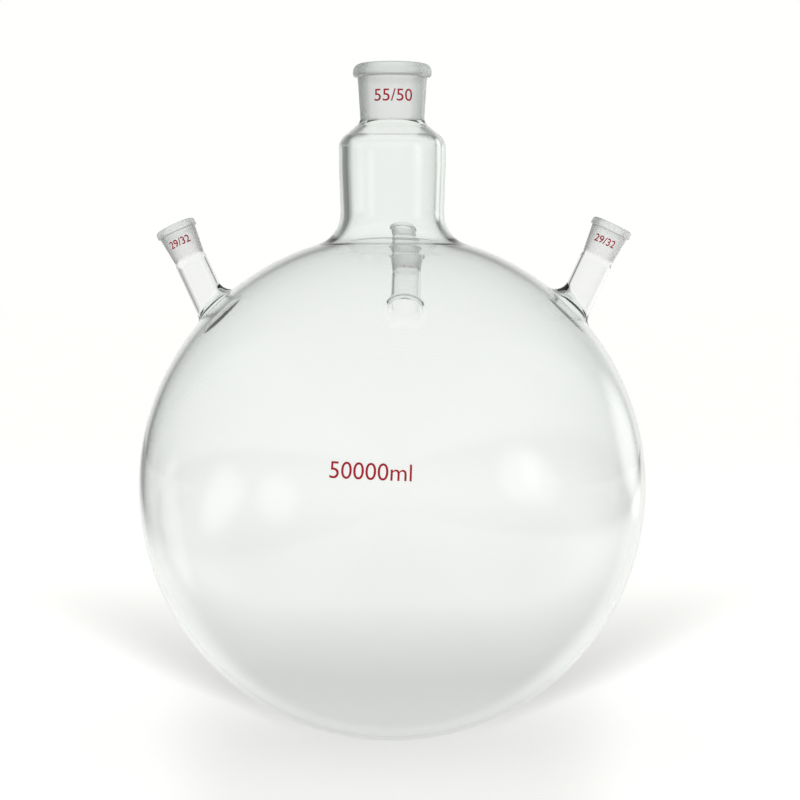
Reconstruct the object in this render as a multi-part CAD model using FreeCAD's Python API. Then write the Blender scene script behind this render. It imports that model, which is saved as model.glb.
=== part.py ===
import FreeCAD, Part
import math
import os

# A 50 litre four-neck round-bottom flask, blown in one piece from borosilicate glass.
# Millimetres. The origin is the lowest point of the round bottom, and +Z is the main neck's axis.
# Two side necks lean out along -X and +X, and the third leans out at the back, along +Y.

# Bulb, with a wall that is thinner at the bottom than under the main neck
bulb_radius = 236.0
bulb_wall_bottom = 4.0
bulb_wall_top = 6.0

# Main neck: a 55/50 ground socket on a shoulder, which a wide tube joins to the bulb
neck_length = 157.0
mouth_diameter = 55.0
ground_length = 50.0
socket_top_radius = 32.4
socket_end_radius = 29.7
socket_end_land = 4.5
bead_radius = 36.8
bead_height = 13.0
bead_round = 7.6
bead_under_round = 4.0
shoulder_slope = 39.0
shoulder_wall = 6.5
shoulder_top_round = 9.0
shoulder_round = 16.0
throat_round = 10.0
clamp_radius = 49.8
clamp_length = 16.0
foot_radius = 47.6
tube_wall = 8.0
outer_fillet = 30.0
inner_fillet = 36.0

# Side necks: a 29/32 ground socket on a short tube of about its own width
side_azimuths = (0.0, 90.0, 180.0)
side_tilt = 25.0
side_polar_angle = 45.5
side_length = 86.5
side_mouth_diameter = 29.2
side_ground_length = 32.0
side_socket_top_radius = 17.7
side_socket_end_radius = 14.7
side_socket_end_land = 2.0
side_bead_radius = 19.6
side_bead_height = 7.6
side_bead_round = 3.6
side_bead_under_round = 1.6
side_tube_radius = 15.4
side_tube_wall = 2.4
side_tube_ease = 5.0
side_tube_round = 12.0
side_outer_fillet = 12.5
side_inner_fillet = 14.0

# Every socket: the standard taper of 1 in 10 on the diameter, and a mouth rounded by the flame
ground_taper = 0.1
mouth_round = 0.9

bulb_centre = FreeCAD.Vector(0, 0, bulb_radius)
cavity_radius = bulb_radius - (bulb_wall_bottom + bulb_wall_top) / 2
cavity_centre = FreeCAD.Vector(0, 0, bulb_wall_bottom + cavity_radius)
up = FreeCAD.Vector(0, 0, 1)

# The main neck's heights, from the mouth down to the bulb's crown
crown_height = 2 * bulb_radius
mouth_height = crown_height + neck_length
slope = math.radians(shoulder_slope)
shoulder_head = mouth_height - ground_length - socket_end_land
shoulder_foot = shoulder_head - (clamp_radius - socket_end_radius) * math.tan(slope)
clamp_top = shoulder_foot - shoulder_round * math.tan((math.pi / 2 - slope) / 2)
clamp_bottom = clamp_top - clamp_length
tube_taper = (clamp_radius - foot_radius) / (clamp_bottom - crown_height)

# How far a neck's tube runs in below the bulb's outside, which is past the wall all round
main_root = foot_radius
side_root = 1.5 * side_tube_radius


def rounded_wire(corners):
    """A closed wire in the XZ plane through corners (radius, height, round), each rounded by a tangent arc."""
    points = [FreeCAD.Vector(r, 0, z) for r, z, _ in corners]
    ends = []
    for i, (_, _, round_radius) in enumerate(corners):
        here = points[i]
        before = (points[i - 1] - here).normalize()
        after = (points[(i + 1) % len(points)] - here).normalize()
        half = before.getAngle(after) / 2
        reach = round_radius / math.tan(half)
        sagitta = round_radius / math.sin(half) - round_radius
        middle = here + (before + after).normalize() * sagitta if round_radius else here
        ends.append((here + before * reach, middle, here + after * reach))
    edges = []
    for i, (start, middle, end) in enumerate(ends):
        if corners[i][2]:
            edges.append(Part.Arc(start, middle, end).toShape())
        edges.append(Part.LineSegment(end, ends[(i + 1) % len(ends)][0]).toShape())
    return Part.Wire(edges)


def revolved(corners):
    """The solid of revolution about the Z axis of a profile of rounded corners."""
    return Part.Face(rounded_wire(corners)).revolve(FreeCAD.Vector(), up, 360)


def ball(centre, radius):
    """A sphere with its seam turned to where no neck stands."""
    sphere = Part.makeSphere(radius)
    sphere.rotate(FreeCAD.Vector(), up, -45)
    sphere.translate(centre)
    return sphere


def socket_end_bore(diameter, length):
    """The radius of a ground bore at its narrow end."""
    return (diameter - ground_taper * length) / 2


def inner_shoulder(radius):
    """The height of the shoulder's inner slope at a radius: a wall's thickness inside the outer slope."""
    return shoulder_foot + (clamp_radius - radius) * math.tan(slope) - shoulder_wall / math.cos(slope)


def main_neck_outside():
    bead_under = mouth_height - bead_height
    return revolved([
        (0, mouth_height, 0),
        (bead_radius, mouth_height, bead_round),
        (bead_radius, bead_under, bead_under_round),
        (socket_top_radius, bead_under, 0),
        (socket_end_radius, shoulder_head, shoulder_top_round),
        (clamp_radius, shoulder_foot, shoulder_round),
        (clamp_radius, clamp_bottom, 0),
        (foot_radius - tube_taper * main_root, crown_height - main_root, 0),
        (0, crown_height - main_root, 0),
    ])


def main_neck_bore():
    throat = socket_end_bore(mouth_diameter, ground_length)
    tube_bore = clamp_radius - tube_wall
    foot_bore = foot_radius - tube_taper * main_root - tube_wall
    return revolved([
        (0, mouth_height, 0),
        (mouth_diameter / 2, mouth_height, 0),
        (throat, mouth_height - ground_length, 0),
        (throat, inner_shoulder(throat), throat_round),
        (tube_bore, inner_shoulder(tube_bore), shoulder_round - shoulder_wall),
        (tube_bore, clamp_bottom, 0),
        (foot_bore, crown_height - main_root, 0),
        (0, crown_height - main_root, 0),
    ])


def side_neck_outside():
    """A side neck's outside along its own axis, from the point where that axis leaves the bulb."""
    bead_under = side_length - side_bead_height
    socket_end = side_length - side_ground_length - side_socket_end_land
    return revolved([
        (0, side_length, 0),
        (side_bead_radius, side_length, side_bead_round),
        (side_bead_radius, bead_under, side_bead_under_round),
        (side_socket_top_radius, bead_under, 0),
        (side_socket_end_radius, socket_end, side_tube_round),
        (side_tube_radius, socket_end - side_tube_ease, side_tube_round),
        (side_tube_radius, -side_root, 0),
        (0, -side_root, 0),
    ])


def side_neck_bore():
    ground_end = side_length - side_ground_length
    tube_bore = side_tube_radius - side_tube_wall
    return revolved([
        (0, side_length, 0),
        (side_mouth_diameter / 2, side_length, 0),
        (socket_end_bore(side_mouth_diameter, side_ground_length), ground_end, 0),
        (tube_bore, ground_end - side_socket_end_land, 0),
        (tube_bore, -side_root, 0),
        (0, -side_root, 0),
    ])


def side_axis(azimuth):
    """Where a side neck's axis leaves the bulb, and the way it points."""
    turn = FreeCAD.Rotation(up, azimuth)
    polar = math.radians(side_polar_angle)
    tilt = math.radians(side_tilt)
    out = turn.multVec(FreeCAD.Vector(math.sin(polar), 0, math.cos(polar)))
    along = turn.multVec(FreeCAD.Vector(math.sin(tilt), 0, math.cos(tilt)))
    return bulb_centre + out * bulb_radius, along


def on_side(shape, azimuth):
    """A copy of a side neck's shape, stood on the bulb at an azimuth."""
    base, _ = side_axis(azimuth)
    placed = shape.copy()
    placed.rotate(FreeCAD.Vector(), FreeCAD.Vector(0, 1, 0), side_tilt)
    placed.rotate(FreeCAD.Vector(), up, azimuth)
    placed.translate(base)
    return placed


def ring_edges(shape, base, along, lies_on):
    """The edges of a shape that keep one distance from an axis, and whose points all lie on a surface."""
    found = []
    for edge in (e for e in shape.Edges if not e.Degenerated):
        points = edge.discretize(7)
        off_axis = [point.distanceToLine(base, along) for point in points]
        if max(off_axis) - min(off_axis) < 0.01 and all(lies_on(point) for point in points):
            found.append(edge)
    return found


def joined(ball_centre, ball_radius, main_neck, main_fillet, side_neck, side_fillet):
    """A ball fused with its four tubes, each drawn into it by a fillet."""
    shape = ball(ball_centre, ball_radius).fuse([main_neck] + [on_side(side_neck, a) for a in side_azimuths])

    def on_ball(point):
        return abs(point.distanceToPoint(ball_centre) - ball_radius) < 0.01

    shape = shape.makeFillet(main_fillet, ring_edges(shape, bulb_centre, up, on_ball))
    for azimuth in side_azimuths:
        shape = shape.makeFillet(side_fillet, ring_edges(shape, *side_axis(azimuth), on_ball))
    return shape


def flask():
    """The blown outside less the cavity, with the inner edge of every mouth rounded by the flame."""
    outside = joined(bulb_centre, bulb_radius, main_neck_outside(), outer_fillet,
                     side_neck_outside(), side_outer_fillet)
    cavity = joined(cavity_centre, cavity_radius, main_neck_bore(), inner_fillet,
                    side_neck_bore(), side_inner_fillet)
    glass = outside.cut(cavity)
    mouths = [(bulb_centre, up, mouth_diameter, mouth_height - bulb_radius)]
    mouths += [(*side_axis(azimuth), side_mouth_diameter, side_length) for azimuth in side_azimuths]
    for base, along, diameter, height in mouths:
        centre = base + along * height

        def on_mouth(point):
            off_centre = point - centre
            return abs(off_centre.dot(along)) < 0.01 and abs(off_centre.Length - diameter / 2) < 0.01

        glass = glass.makeFillet(mouth_round, ring_edges(glass, base, along, on_mouth))
    return glass


os.makedirs("parts", exist_ok=True)
flask().exportStep("parts/flask.step")
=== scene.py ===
import bisect
import math
import bmesh
import bpy
from mathutils import Matrix, Vector
from mathutils.geometry import delaunay_2d_cdt


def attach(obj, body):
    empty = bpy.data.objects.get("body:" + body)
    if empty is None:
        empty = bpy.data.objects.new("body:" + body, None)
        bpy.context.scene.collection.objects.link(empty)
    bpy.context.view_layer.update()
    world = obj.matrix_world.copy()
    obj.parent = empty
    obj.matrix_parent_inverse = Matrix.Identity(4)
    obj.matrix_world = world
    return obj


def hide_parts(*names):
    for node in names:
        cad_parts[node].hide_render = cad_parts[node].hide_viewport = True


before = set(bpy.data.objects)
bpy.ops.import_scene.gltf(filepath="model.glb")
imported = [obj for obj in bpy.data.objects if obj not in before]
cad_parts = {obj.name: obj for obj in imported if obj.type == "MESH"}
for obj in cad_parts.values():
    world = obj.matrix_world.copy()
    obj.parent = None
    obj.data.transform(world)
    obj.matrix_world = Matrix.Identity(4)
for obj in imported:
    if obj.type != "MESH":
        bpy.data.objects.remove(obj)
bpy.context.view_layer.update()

# The flask's own sizes, in millimetres and degrees
bulb_radius = 236.0
bulb_wall_bottom = 4.0
bulb_wall_top = 6.0
neck_length = 157.0
mouth_diameter = 55.0
ground_length = 50.0
socket_top_radius = 32.4
socket_end_radius = 29.7
socket_end_land = 4.5
bead_radius = 36.8
bead_height = 13.0
bead_round = 7.6
bead_under_round = 4.0
shoulder_slope = 39.0
shoulder_wall = 6.5
shoulder_top_round = 9.0
shoulder_round = 16.0
throat_round = 10.0
clamp_radius = 49.8
clamp_length = 16.0
foot_radius = 47.6
tube_wall = 8.0
outer_fillet = 30.0
inner_fillet = 36.0
side_azimuths = (0.0, 90.0, 180.0)
side_tilt = 25.0
side_polar_angle = 45.5
side_length = 86.5
side_mouth_diameter = 29.2
side_ground_length = 32.0
side_socket_top_radius = 17.7
side_socket_end_radius = 14.7
side_socket_end_land = 2.0
side_bead_radius = 19.6
side_bead_height = 7.6
side_bead_round = 3.6
side_bead_under_round = 1.6
side_tube_radius = 15.4
side_tube_wall = 2.4
side_tube_ease = 5.0
side_tube_round = 12.0
side_outer_fillet = 12.5
side_inner_fillet = 14.0
ground_taper = 0.1
mouth_round = 0.9

MM = 0.001
bulb_centre = Vector((0, 0, bulb_radius))
cavity_radius = bulb_radius - (bulb_wall_bottom + bulb_wall_top) / 2
cavity_centre = Vector((0, 0, bulb_wall_bottom + cavity_radius))
crown_height = 2 * bulb_radius
slope = math.radians(shoulder_slope)

# Heights on the main neck, from the bulb's crown, and on a side neck, from where its axis leaves the bulb
shoulder_head = neck_length - ground_length - socket_end_land
shoulder_foot = shoulder_head - (clamp_radius - socket_end_radius) * math.tan(slope)
clamp_bottom = shoulder_foot - shoulder_round * math.tan((math.pi / 2 - slope) / 2) - clamp_length
side_socket_end = side_length - side_ground_length - side_socket_end_land

# How finely the glass is meshed: segments round a neck, the longest straight step, the widest turn of an
# arc, the turn that a fillet is stepped for, the space between the bulb's points, and the least rounding
main_segments = 144
side_segments = 72
longest_step = 4.0
arc_turn = math.radians(11)
fillet_turn = math.radians(75)
bulb_spacing = 6.0
edge_round = 0.3

# What the bulb's points keep clear of round a side neck and of the ring below the main neck, in spacings
gap_margin = 0.6
crown_margin = 0.8

# Normals less than this apart point one way, and a normal that leans this far to the axis is a bore's
same_way = 1e-6
bore_facing = -0.9

# How near two points are one: on the bulb laid flat, and along a cut through the letters
flat_tolerance = 1e-9
cut_tolerance = 1e-5

# Glass and enamel
glass_ior = 1.47
glass_tint = (0.62, 0.77, 0.69, 1)
glass_density = 15.0
ground_roughness = 0.45
enamel_red = (0.62, 0.006, 0.03, 1)
enamel_roughness = 0.35

# The marks: words, height, width against the font's own, and how much bolder the strokes are
capacity_lettering = ("50000ml", 14.6, 1.0, 0.0)
main_lettering = ("55/50", 11.2, 1.05, 0.004)
side_lettering = ("29/32", 7.2, 0.95, 0.014)
letter_curve_steps = 6
strip_width = 1.5

# Where they lie: above the bulb's middle and turned there, below a mouth, and round a socket's axis
capacity_rise = 28.7
capacity_tilt = -2.2
main_mark_drop = 31.0
main_mark_facing = -83.5
side_mark_drop = 17.5
side_marks = (("right", 0, -90), ("back", 90, 0), ("left", 180, 90))
mark_gap = 0.03
mark_skin = 0.16

# The camera, and where the bulb's middle falls in its picture
camera_azimuth = 4.5
camera_elevation = 4.0
camera_distance = 2360.0
focal_pixels = 2523.0
image_side = 800
centre_pixel = (392.3, 486.0)

# The room's light: a backdrop behind the flask and what stands over it, beside it, in front and on top.
# Edges are where a light starts and ends to fade, in degrees from its middle or as the height of a way.
warm_white = (1.0, 1.0, 0.985, 1)
backdrop_turn = -4
backdrop_light = 1.0
backdrop_edges = (14, 34)
high_light = 0.42
high_edges = (0.14, 0.42)
side_light = 0.25
front_light = 0.45
front_edges = (20, 100)
top_light = 0.40
top_edges = (0.35, 0.8)

# Soft lamps: how bright, how near a way comes to one before it glows, and each one's azimuth and elevation
glow_light = 0.9
glow_start = 0.97
glow_ways = ((101, -3), (-121, 7), (-43, 5))

# The floor's tones, which paint its light and shade: near, far, the painted shade beside its lit wedge and
# the flask's painted shadow; and how much of its light is its own painted glow
floor_near = 0.97
floor_far = 0.91
floor_shaded_side = 0.38
floor_shadow_tone = 0.63
floor_glow = 0.70
floor_reach = 400

# Where they lie, in metres in front of the flask (less than 0) or behind it, and in degrees seen from a point
view_foot = 2.4
far_edges = (1.0, 6.0)
# Painted light: the floor is lit in a wedge seen from the camera's foot and painted darker beside it and
# further in front
lit_edges = (13.5, 22)
lit_start = (-2.2, -0.25)
# The flask's painted soft shadow: a wedge seen from a point in front of its foot
shadow_foot = 0.28
shadow_edges = (15, 22)
shadow_start = (-0.2, 0.35)
shadow_end = (0.1, 1.7)
# A painted shadow further behind the bulb, in a narrow wedge seen from the camera's foot
shadow_behind_edges = (3.0, 5.6)
shadow_behind_end = (1.3, 3.6)
shadow_behind_share = 0.34


def in_scene(name, data):
    """A new object of the data, in the scene."""
    made = bpy.data.objects.new(name, data)
    bpy.context.scene.collection.objects.link(made)
    return made


def arc_points(centre, radius, start, end):
    """Points and unit ways from a centre, from one way to another the short way round."""
    turn = start.angle_signed(end)
    count = max(2, math.ceil(abs(turn) / arc_turn))
    for i in range(count + 1):
        way = Matrix.Rotation(-turn * i / count, 2) @ start
        yield centre + way * radius, way


def trace(corners):
    """The outline through corners (radius, height, round) as rows of (point, normal).

    The glass lies to the left of the way it is traced, so the normals point to its right.
    """
    corners = [(Vector((r, z)), max(rounding, edge_round)) for r, z, rounding in corners]
    rows = []
    start = corners[0][0]
    for i in range(1, len(corners)):
        corner, rounding = corners[i]
        along = (corner - start).normalized()
        normal = Vector((along.y, -along.x))
        end = corner
        arc = []
        if i < len(corners) - 1:
            onward = (corners[i + 1][0] - corner).normalized()
            after = Vector((onward.y, -onward.x))
            reach = rounding * math.tan(along.angle(onward) / 2)
            end = corner - along * reach
            outward = 1 if along.cross(onward) > 0 else -1
            centre = end - normal * rounding * outward
            arc = [(point, way * outward)
                   for point, way in arc_points(centre, rounding, normal * outward, after * outward)]
        steps = max(1, math.ceil((end - start).length / longest_step))
        straight = [(start.lerp(end, j / steps), normal) for j in range(steps + 1)]
        rows += straight[1:] if rows else straight
        rows += arc[1:]
        if arc:
            start = arc[-1][0]
    return rows


def straight_run(rows):
    """The number of the last row, from the first on, whose normal is still the first one's."""
    return next(i for i, (_, normal) in enumerate(rows) if (normal - rows[0][1]).length > same_way) - 1


def point_at(placed, angle, radius, height):
    """The point of a neck's own frame at an angle round its axis."""
    return placed @ Vector((radius * math.cos(angle), radius * math.sin(angle), height))


class Neck:
    """A neck's frame, the outline of its wall and how it runs into the bulb's outside and the cavity."""

    def __init__(self, placed, segments, foot, taper, wall, fillets, corners, ground):
        self.placed = placed
        self.turned = placed.to_3x3()
        self.segments = segments
        self.taper = taper
        self.feet = (foot, foot - wall)
        self.fillets = fillets
        self.corners = corners
        self.ground = ground

    def contact(self, angle, foot, fillet, ball_centre, ball_radius):
        """A fillet's rolling ball at an angle round the neck.

        Its centre, the ways to the two surfaces it touches, and the height where it touches the tube.
        """
        outward = self.turned @ Vector((math.cos(angle), math.sin(angle), 0))
        axis = self.turned @ Vector((0, 0, 1))
        along = outward * self.taper + axis
        normal = (outward - axis * self.taper).normalized()
        start = self.placed.translation + outward * foot + normal * fillet - ball_centre
        reach = ball_radius + fillet
        a = along.dot(along)
        b = along.dot(start)
        c = start.dot(start) - reach * reach
        height = (-b + math.sqrt(b * b - a * c)) / a
        centre = start + along * height + ball_centre
        local = self.placed.inverted() @ (centre - normal * fillet)
        return centre, -normal, (ball_centre - centre).normalized(), local.z

    def fillet_rows(self, foot, fillet, ball_centre, ball_radius):
        """Rings of (point, normal) from the ball to the tube, and the tube's height at each angle."""
        steps = max(4, math.ceil(fillet_turn / arc_turn))
        rings = [[] for _ in range(steps + 1)]
        heights = []
        for i in range(self.segments):
            centre, to_tube, to_ball, height = self.contact(
                2 * math.pi * i / self.segments, foot, fillet, ball_centre, ball_radius)
            heights.append(height)
            turn = to_ball.angle(to_tube)
            for j in range(steps + 1):
                ball_share = math.sin(turn * (1 - j / steps))
                tube_share = math.sin(turn * j / steps)
                way = (to_ball * ball_share + to_tube * tube_share) / math.sin(turn)
                rings[j].append((centre + way * fillet, -way))
        return rings, heights

    def rings(self):
        """Every ring, from the bulb's outside over the mouth to the cavity: (points, normals, ground)."""
        outer, outer_heights = self.fillet_rows(self.feet[0], self.fillets[0], bulb_centre, bulb_radius)
        inner, inner_heights = self.fillet_rows(self.feet[1], self.fillets[1], cavity_centre, cavity_radius)
        rows = trace(self.corners)
        first = straight_run(rows)
        last = len(rows) - 1 - straight_run(rows[::-1])
        low, high = self.ground
        rings = [([p for p, _ in ring], [n for _, n in ring], False) for ring in outer[:-1]]
        for j, (point, normal) in enumerate(rows):
            points = []
            normals = []
            for i in range(self.segments):
                angle = 2 * math.pi * i / self.segments
                radius, height = point
                if j < first:
                    height = outer_heights[i] + (rows[first][0].y - outer_heights[i]) * j / first
                    radius = self.feet[0] + self.taper * height
                elif j > last:
                    share = (j - last) / (len(rows) - 1 - last)
                    height = rows[last][0].y + (inner_heights[i] - rows[last][0].y) * share
                    radius = self.feet[1] + self.taper * height
                points.append(point_at(self.placed, angle, radius, height))
                around = Vector((normal.x * math.cos(angle), normal.x * math.sin(angle), normal.y))
                normals.append(self.turned @ around)
            following = rows[j + 1][0].y if j + 1 < len(rows) else low
            ground = normal.x < bore_facing and low < (point.y + following) / 2 < high
            rings.append((points, normals, ground))
        rings += [([p for p, _ in ring], [-n for _, n in ring], False) for ring in reversed(inner[:-1])]
        return rings


class Gap:
    """A side neck's hole in a ball, as directions from the ball's centre."""

    def __init__(self, ring, margin):
        self.middle = sum(ring, Vector()).normalized()
        self.across = self.middle.orthogonal().normalized()
        self.up = self.middle.cross(self.across)
        self.edge = sorted((self.azimuth(way), way.angle(self.middle) + margin) for way in ring)
        self.angles = [azimuth for azimuth, _ in self.edge]

    def azimuth(self, way):
        """The angle of a direction round the hole's middle."""
        return math.atan2(way.dot(self.up), way.dot(self.across))

    def clears(self, way):
        """Whether a direction lies outside the hole, margin and all."""
        i = bisect.bisect(self.angles, self.azimuth(way)) % len(self.edge)
        return way.angle(self.middle) > max(self.edge[i - 1][1], self.edge[i][1])


def ball_ways(holes, spacing):
    """Directions spread evenly over a ball below the ring round its crown, clear of its other holes."""
    gaps = [Gap(ring, spacing * gap_margin) for ring in holes[1:]]
    top = holes[0][0].angle(Vector((0, 0, 1))) + spacing * crown_margin
    rows = math.ceil((math.pi - top) / spacing)
    ways = [Vector((0, 0, -1))]
    for row in range(rows):
        polar = top + (math.pi - top) * row / rows
        count = max(6, round(2 * math.pi * math.sin(polar) / spacing))
        for i in range(count):
            angle = 2 * math.pi * (i + row % 2 / 2) / count
            x = math.sin(polar) * math.cos(angle)
            y = math.sin(polar) * math.sin(angle)
            way = Vector((x, y, math.cos(polar)))
            if all(gap.clears(way) for gap in gaps):
                ways.append(way)
    return ways


class GlassMesh:
    """Points of the glass with their exact normals, and the faces between them."""

    def __init__(self):
        self.points = []
        self.normals = []
        self.faces = []
        self.ground = []

    def add(self, points, normals):
        """Adds points and returns their numbers."""
        first = len(self.points)
        self.points += points
        self.normals += normals
        return list(range(first, len(self.points)))

    def face(self, corners, ground=False):
        """Adds a face, turned to look the way its normals do."""
        a, b, c = (self.points[i] for i in corners[:3])
        facing = sum((self.normals[i] for i in corners), Vector())
        self.faces.append(corners if (b - a).cross(c - a).dot(facing) > 0 else corners[::-1])
        self.ground.append(ground)

    def neck(self, neck):
        """Adds a neck and returns its rings on the bulb's outside and on the cavity."""
        rings = neck.rings()
        numbers = [self.add(points, normals) for points, normals, _ in rings]
        for k, (_, _, ground) in enumerate(rings[:-1]):
            low = numbers[k]
            high = numbers[k + 1]
            for i in range(neck.segments):
                j = (i + 1) % neck.segments
                self.face([low[i], low[j], high[j], high[i]], ground)
        return numbers[0], numbers[-1]

    def ball(self, centre, radius, holes, facing):
        """Adds a ball between the rings round its holes, looking out (facing 1) or in (-1).

        The ball is laid flat from its crown, which keeps circles round, so the triangles stay even.
        """
        rings = [[(self.points[i] - centre).normalized() for i in hole] for hole in holes]
        ways = ball_ways(rings, bulb_spacing / radius)
        numbers = [i for hole in holes for i in hole]
        numbers += self.add([centre + way * radius for way in ways], [way * facing for way in ways])
        of_hole = [h for h, hole in enumerate(holes) for _ in hole] + [None] * len(ways)
        edges = []
        for hole in holes:
            first = len(edges)
            edges += [(first + i, first + (i + 1) % len(hole)) for i in range(len(hole))]
        all_ways = [way for ring in rings for way in ring] + ways
        flat = [Vector((way.x, way.y)) / (1 - way.z) for way in all_ways]
        _, _, triangles, origins, _, _ = delaunay_2d_cdt(flat, edges, [], 0, flat_tolerance)
        for triangle in triangles:
            corners = [origins[i][0] for i in triangle]
            owners = {of_hole[i] for i in corners}
            # Three corners on one side neck's ring would close its hole
            if len(owners) > 1 or owners in ({None}, {0}):
                self.face([numbers[i] for i in corners])

    def piece(self, name):
        """The mesh as an object in metres, with its exact normals and its ground faces marked."""
        mesh = bpy.data.meshes.new(name)
        mesh.from_pydata([point * MM for point in self.points], [], self.faces)
        mesh.polygons.foreach_set("use_smooth", [True] * len(self.faces))
        mesh.normals_split_custom_set_from_vertices(self.normals)
        marked = mesh.attributes.new("ground", "FLOAT", "FACE")
        marked.data.foreach_set("value", [float(ground) for ground in self.ground])
        return in_scene(name, mesh)


def inner_shoulder(radius):
    """The height of the shoulder's inner slope at a radius: a wall's thickness inside the outer slope."""
    return shoulder_foot + (clamp_radius - radius) * math.tan(slope) - shoulder_wall / math.cos(slope)


def main_frame():
    """The main neck's frame, which stands on the bulb's crown."""
    return Matrix.Translation((0, 0, crown_height))


def main_neck():
    """The main neck, its frame standing on the bulb's crown."""
    mouth = neck_length
    throat = (mouth_diameter - ground_taper * ground_length) / 2
    bore = clamp_radius - tube_wall
    corners = [
        (foot_radius, 0, 0),
        (clamp_radius, clamp_bottom, 0),
        (clamp_radius, shoulder_foot, shoulder_round),
        (socket_end_radius, shoulder_head, shoulder_top_round),
        (socket_top_radius, mouth - bead_height, 0),
        (bead_radius, mouth - bead_height, bead_under_round),
        (bead_radius, mouth, bead_round),
        (mouth_diameter / 2, mouth, mouth_round),
        (throat, mouth - ground_length, 0),
        (throat, inner_shoulder(throat), throat_round),
        (bore, inner_shoulder(bore), shoulder_round - shoulder_wall),
        (bore, clamp_bottom, 0),
        (foot_radius - tube_wall, 0, 0),
    ]
    taper = (clamp_radius - foot_radius) / clamp_bottom
    fillets = (outer_fillet, inner_fillet)
    ground = (shoulder_head, mouth - mouth_round)
    return Neck(main_frame(), main_segments, foot_radius, taper, tube_wall, fillets, corners, ground)


def side_frame(azimuth):
    """A side neck's frame, which stands on the bulb where the neck's axis leaves it."""
    turn = Matrix.Rotation(math.radians(azimuth), 4, "Z")
    polar = math.radians(side_polar_angle)
    base = turn @ Vector((math.sin(polar), 0, math.cos(polar))) * bulb_radius + bulb_centre
    return Matrix.Translation(base) @ turn @ Matrix.Rotation(math.radians(side_tilt), 4, "Y")


def side_neck(azimuth):
    """A side neck, its frame standing where its axis leaves the bulb."""
    mouth = side_length
    bore = side_tube_radius - side_tube_wall
    narrow = (side_mouth_diameter - ground_taper * side_ground_length) / 2
    corners = [
        (side_tube_radius, 0, 0),
        (side_tube_radius, side_socket_end - side_tube_ease, side_tube_round),
        (side_socket_end_radius, side_socket_end, side_tube_round),
        (side_socket_top_radius, mouth - side_bead_height, 0),
        (side_bead_radius, mouth - side_bead_height, side_bead_under_round),
        (side_bead_radius, mouth, side_bead_round),
        (side_mouth_diameter / 2, mouth, mouth_round),
        (narrow, mouth - side_ground_length, 0),
        (bore, side_socket_end, 0),
        (bore, 0, 0),
    ]
    fillets = (side_outer_fillet, side_inner_fillet)
    ground = (mouth - side_ground_length, mouth - mouth_round)
    return Neck(side_frame(azimuth), side_segments, side_tube_radius, 0.0, side_tube_wall, fillets, corners,
                ground)


def flask_glass():
    """The blown wall: four necks run over their mouths, between the bulb's outside and the cavity."""
    glass = GlassMesh()
    necks = [main_neck()] + [side_neck(azimuth) for azimuth in side_azimuths]
    rings = [glass.neck(neck) for neck in necks]
    glass.ball(bulb_centre, bulb_radius, [outer for outer, _ in rings], 1)
    glass.ball(cavity_centre, cavity_radius, [inner for _, inner in rings], -1)
    piece = glass.piece("flask_glass")
    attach(piece, "root")
    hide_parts("flask")
    return piece


class Wires:
    """Short ways to add and join shader nodes."""

    def __init__(self, tree):
        tree.nodes.clear()
        self.nodes = tree.nodes
        self.links = tree.links

    def put(self, value, socket):
        """Links an output to a socket, or sets a constant on it."""
        if isinstance(value, bpy.types.NodeSocket):
            self.links.new(value, socket)
        else:
            socket.default_value = value

    def node(self, kind, settings=(), **inputs):
        """A node with its settings, and its inputs named with underscores for spaces."""
        node = self.nodes.new(kind)
        for name, value in dict(settings).items():
            setattr(node, name, value)
        for name, value in inputs.items():
            self.put(value, node.inputs[name.replace("_", " ")])
        return node

    def math(self, kind, *values):
        """The result of an operation on numbers."""
        node = self.node("ShaderNodeMath", {"operation": kind})
        for socket, value in zip(node.inputs, values):
            self.put(value, socket)
        return node.outputs[0]

    def vector(self, kind, *values):
        """The result of an operation on vectors, which for some kinds is a number."""
        node = self.node("ShaderNodeVectorMath", {"operation": kind})
        for socket, value in zip(node.inputs, values):
            self.put(value, socket)
        return node.outputs["Value" if kind in ("DOT_PRODUCT", "LENGTH") else "Vector"]

    def ease(self, value, start, end, low=0.0, high=1.0):
        """Low up to the start and high from the end, with a smooth step between."""
        node = self.node("ShaderNodeMapRange", {"interpolation_type": "SMOOTHSTEP"}, Value=value,
                         From_Min=start, From_Max=end, To_Min=low, To_Max=high)
        return node.outputs[0]

    def mixed(self, share, low, high):
        """Low where the share is 0 and high where it is 1."""
        of_low = self.math("MULTIPLY", self.math("SUBTRACT", 1.0, share), low)
        return self.math("ADD", of_low, self.math("MULTIPLY", share, high))

    def wedge(self, way, azimuth, inner, outer):
        """1 within inner degrees of an azimuth and 0 beyond outer degrees, seen from above."""
        flat = self.vector("MULTIPLY", way, (1.0, 1.0, 0.0))
        towards = self.vector("DOT_PRODUCT", flat, direction(azimuth, 0))
        cosine = self.math("DIVIDE", towards, self.vector("LENGTH", flat))
        return self.ease(cosine, math.cos(math.radians(outer)), math.cos(math.radians(inner)))

    def with_lamps(self, level, way, light):
        """A level with each soft lamp's glow added, where the way looks at it."""
        for azimuth, elevation in glow_ways:
            towards = self.vector("DOT_PRODUCT", way, direction(camera_azimuth + azimuth, elevation))
            level = self.math("ADD", level, self.ease(towards, glow_start, 1.0, 0.0, light))
        return level


def direction(azimuth, elevation):
    """The unit vector that looks along an azimuth, so much above the horizontal."""
    a = math.radians(azimuth)
    e = math.radians(elevation)
    return (-math.sin(a) * math.cos(e), math.cos(a) * math.cos(e), math.sin(e))


def material(name):
    """An empty material, its wires and its output."""
    made = bpy.data.materials.new(name)
    made.use_nodes = True
    wires = Wires(made.node_tree)
    return made, wires, wires.node("ShaderNodeOutputMaterial")


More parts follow.
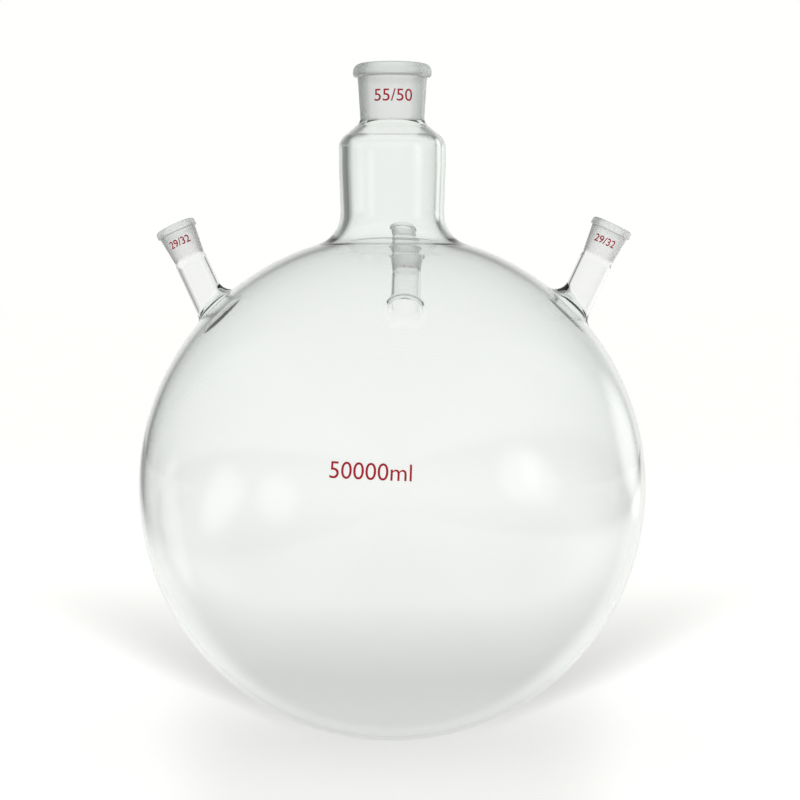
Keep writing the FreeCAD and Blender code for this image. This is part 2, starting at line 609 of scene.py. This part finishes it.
def glass_material():
    """Borosilicate glass, faintly green through its thickness, with ground bores."""
    made, wires, out = material("borosilicate_glass")
    ground = wires.node("ShaderNodeAttribute", {"attribute_name": "ground"}).outputs["Fac"]
    roughness = wires.math("MULTIPLY", ground, ground_roughness)
    shader = wires.node("ShaderNodeBsdfPrincipled", Base_Color=(1, 1, 1, 1), IOR=glass_ior,
                        Transmission_Weight=1.0, Roughness=roughness)
    volume = wires.node("ShaderNodeVolumeAbsorption", Color=glass_tint, Density=glass_density)
    wires.links.new(shader.outputs[0], out.inputs["Surface"])
    wires.links.new(volume.outputs[0], out.inputs["Volume"])
    return made


def enamel_material():
    """Fired-on red enamel."""
    made, wires, out = material("red_enamel")
    shader = wires.node("ShaderNodeBsdfPrincipled", Base_Color=enamel_red, Roughness=enamel_roughness)
    wires.links.new(shader.outputs[0], out.inputs["Surface"])
    return made


def text_mesh(words, height, width_share, weight):
    """Words as a flat mesh in millimetres, centred and cut into strips. Weight makes the strokes bolder."""
    curve = bpy.data.curves.new(words, "FONT")
    curve.body = words
    curve.align_x = "CENTER"
    curve.resolution_u = letter_curve_steps
    curve.offset = weight
    holder = bpy.data.objects.new(words, curve)
    flat = bpy.data.meshes.new_from_object(holder)
    bpy.data.objects.remove(holder)
    bm = bmesh.new()
    bm.from_mesh(flat)
    bpy.data.meshes.remove(flat)
    xs = [v.co.x for v in bm.verts]
    ys = [v.co.y for v in bm.verts]
    middle = Vector(((min(xs) + max(xs)) / 2, (min(ys) + max(ys)) / 2, 0))
    size = height / (max(ys) - min(ys))
    for v in bm.verts:
        v.co = (v.co - middle) * size
        v.co.x *= width_share
    reach = max(v.co.x for v in bm.verts)
    cuts = math.ceil(2 * reach / strip_width)
    for i in range(1, cuts):
        bmesh.ops.bisect_plane(bm, geom=bm.verts[:] + bm.edges[:] + bm.faces[:], dist=cut_tolerance,
                               plane_co=(-reach + 2 * reach * i / cuts, 0, 0), plane_no=(1, 0, 0))
    bmesh.ops.triangulate(bm, faces=bm.faces[:])
    return bm


def mark(name, lettering, enamel, lay):
    """Fired-on words: a skin over the glass, which lay(x, y, lift) places."""
    bm = text_mesh(*lettering)
    made = bmesh.ops.extrude_face_region(bm, geom=bm.faces[:])
    raised = {v for v in made["geom"] if isinstance(v, bmesh.types.BMVert)}
    for v in bm.verts:
        v.co = lay(v.co.x, v.co.y, mark_skin if v in raised else mark_gap) * MM
    bmesh.ops.recalc_face_normals(bm, faces=bm.faces[:])
    mesh = bpy.data.meshes.new(name)
    bm.to_mesh(mesh)
    bm.free()
    mesh.materials.append(enamel)
    piece = in_scene(name, mesh)
    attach(piece, "root")
    return piece


def on_bulb(rise, tilt):
    """Lays words on the bulb's front, turned by a tilt in degrees, a rise above its middle."""
    turn = Matrix.Rotation(math.radians(tilt), 2)

    def lay(x, y, lift):
        across, up = turn @ Vector((x, y))
        azimuth = across / bulb_radius
        polar = (up + rise) / bulb_radius
        east = math.sin(azimuth) * math.cos(polar)
        south = -math.cos(azimuth) * math.cos(polar)
        return bulb_centre + Vector((east, south, math.sin(polar))) * (bulb_radius + lift)
    return lay


def on_socket(placed, foot, head, middle, facing):
    """Lays words round a socket's outside, which runs from foot to head, each (radius, height)."""
    slant = (head[0] - foot[0]) / (head[1] - foot[1])

    def lay(x, y, lift):
        height = middle + y
        radius = foot[0] + slant * (height - foot[1]) + lift
        return point_at(placed, math.radians(facing) + x / radius, radius, height)
    return lay


def marks():
    """The capacity on the bulb, and each socket's size on the socket."""
    enamel = enamel_material()
    foot = (socket_end_radius, shoulder_head)
    head = (socket_top_radius, neck_length - bead_height)
    mark("mark_capacity", capacity_lettering, enamel, on_bulb(capacity_rise, capacity_tilt))
    mark("mark_main_socket", main_lettering, enamel,
         on_socket(main_frame(), foot, head, neck_length - main_mark_drop, main_mark_facing))
    foot = (side_socket_end_radius, side_socket_end)
    head = (side_socket_top_radius, side_length - side_bead_height)
    for name, azimuth, facing in side_marks:
        mark(f"mark_{name}_socket", side_lettering, enamel,
             on_socket(side_frame(azimuth), foot, head, side_length - side_mark_drop, facing))


def add_camera():
    """The camera, aimed so that the bulb's middle falls on its place in the picture."""
    azimuth = math.radians(camera_azimuth)
    elevation = math.radians(camera_elevation)
    away = Vector((math.sin(azimuth) * math.cos(elevation), -math.cos(azimuth) * math.cos(elevation),
                   math.sin(elevation)))
    right = Vector((0, 0, 1)).cross(away).normalized()
    up = away.cross(right)
    aside = (centre_pixel[0] - image_side / 2) / focal_pixels
    below = (centre_pixel[1] - image_side / 2) / focal_pixels
    forward = -away - right * aside + up * below
    camera = bpy.data.cameras.new("camera")
    camera.lens = focal_pixels / image_side * camera.sensor_width
    holder = in_scene("camera", camera)
    holder.location = (bulb_centre + away * camera_distance) * MM
    holder.rotation_euler = forward.to_track_quat("-Z", "Y").to_euler()
    bpy.context.scene.camera = holder


def add_world():
    """The room as the flask mirrors and bends it: a pale backdrop between darker sides, and soft lamps."""
    world = bpy.data.worlds.new("studio")
    world.use_nodes = True
    bpy.context.scene.world = world
    wires = Wires(world.node_tree)
    way = wires.node("ShaderNodeTexCoord").outputs["Generated"]
    up = wires.vector("DOT_PRODUCT", way, (0.0, 0.0, 1.0))
    rear = wires.mixed(wires.ease(up, *high_edges), backdrop_light, high_light)
    front = wires.wedge(way, camera_azimuth + 180, *front_edges)
    backdrop = wires.wedge(way, camera_azimuth + backdrop_turn, *backdrop_edges)
    level = wires.mixed(backdrop, wires.mixed(front, side_light, front_light), rear)
    level = wires.mixed(wires.ease(up, *top_edges), level, top_light)
    level = wires.with_lamps(level, way, glow_light)
    shade = wires.node("ShaderNodeBackground", Color=warm_white, Strength=level)
    wires.links.new(shade.outputs[0], wires.node("ShaderNodeOutputWorld").inputs["Surface"])


def floor_material():
    """A pale floor with painted light and shade: lit as a wedge in the camera's view and painted darker
    beside and in front of it, with the flask's soft shadow painted behind its foot. Its own glow is painted
    brighter where, seen from the bulb's middle, it lies towards a soft lamp.
    """
    made, wires, out = material("floor")
    place = wires.node("ShaderNodeTexCoord").outputs["Object"]
    ahead = direction(camera_azimuth, 0)

    def seen_from(distance):
        return wires.vector("ADD", place, tuple(share * distance for share in ahead))

    depth = wires.vector("DOT_PRODUCT", place, ahead)
    # Painted light and shade: lit in a wedge seen from the camera's foot, darker beside it and further in
    # front
    lit = wires.wedge(seen_from(view_foot), camera_azimuth + backdrop_turn, *lit_edges)
    lit = wires.math("MULTIPLY", lit, wires.ease(depth, *lit_start))
    # The flask's painted soft shadow, fading in about its foot and out far behind it
    shadow_fade = wires.ease(depth, *shadow_end, 1.0, 0.0)
    shadow_fade = wires.math("MULTIPLY", shadow_fade, wires.ease(depth, *shadow_start))
    painted_shadow = wires.wedge(seen_from(shadow_foot), camera_azimuth, *shadow_edges)
    painted_shadow = wires.math("MULTIPLY", painted_shadow, shadow_fade)
    # A painted shadow behind the bulb, in a narrow wedge seen from the camera's foot
    behind = wires.wedge(seen_from(view_foot), camera_azimuth, *shadow_behind_edges)
    behind = wires.math("MULTIPLY", behind, wires.ease(depth, *shadow_behind_end, shadow_behind_share, 0.0))
    open_floor = wires.ease(depth, *far_edges, floor_near, floor_far)
    level = wires.mixed(wires.math("MAXIMUM", painted_shadow, behind), open_floor, floor_shadow_tone)
    level = wires.mixed(lit, floor_shaded_side, level)
    blue = wires.math("MULTIPLY", level, warm_white[2])
    tone = wires.node("ShaderNodeCombineColor", Red=level, Green=level, Blue=blue).outputs[0]
    # Painted lamp light: the floor's own glow is brighter where, seen from the bulb's middle, it lies towards
    # a soft lamp
    sight = wires.vector("NORMALIZE", wires.vector("SUBTRACT", place, tuple(bulb_centre * MM)))
    strength = wires.with_lamps(floor_glow, sight, glow_light / floor_shaded_side)
    glow = wires.node("ShaderNodeEmission", Color=tone, Strength=strength)
    both = wires.node("ShaderNodeAddShader")
    wires.links.new(wires.node("ShaderNodeBsdfDiffuse", Color=tone).outputs[0], both.inputs[0])
    wires.links.new(glow.outputs[0], both.inputs[1])
    wires.links.new(both.outputs[0], out.inputs["Surface"])
    return made


def add_floor():
    """A floor that runs to the horizon."""
    bm = bmesh.new()
    bmesh.ops.create_grid(bm, x_segments=1, y_segments=1, size=floor_reach)
    mesh = bpy.data.meshes.new("floor")
    bm.to_mesh(mesh)
    bm.free()
    floor = in_scene("floor", mesh)
    floor.data.materials.append(floor_material())


bpy.context.scene.view_settings.view_transform = "Standard"
flask_glass().data.materials.append(glass_material())
marks()
add_camera()
add_world()
add_floor()
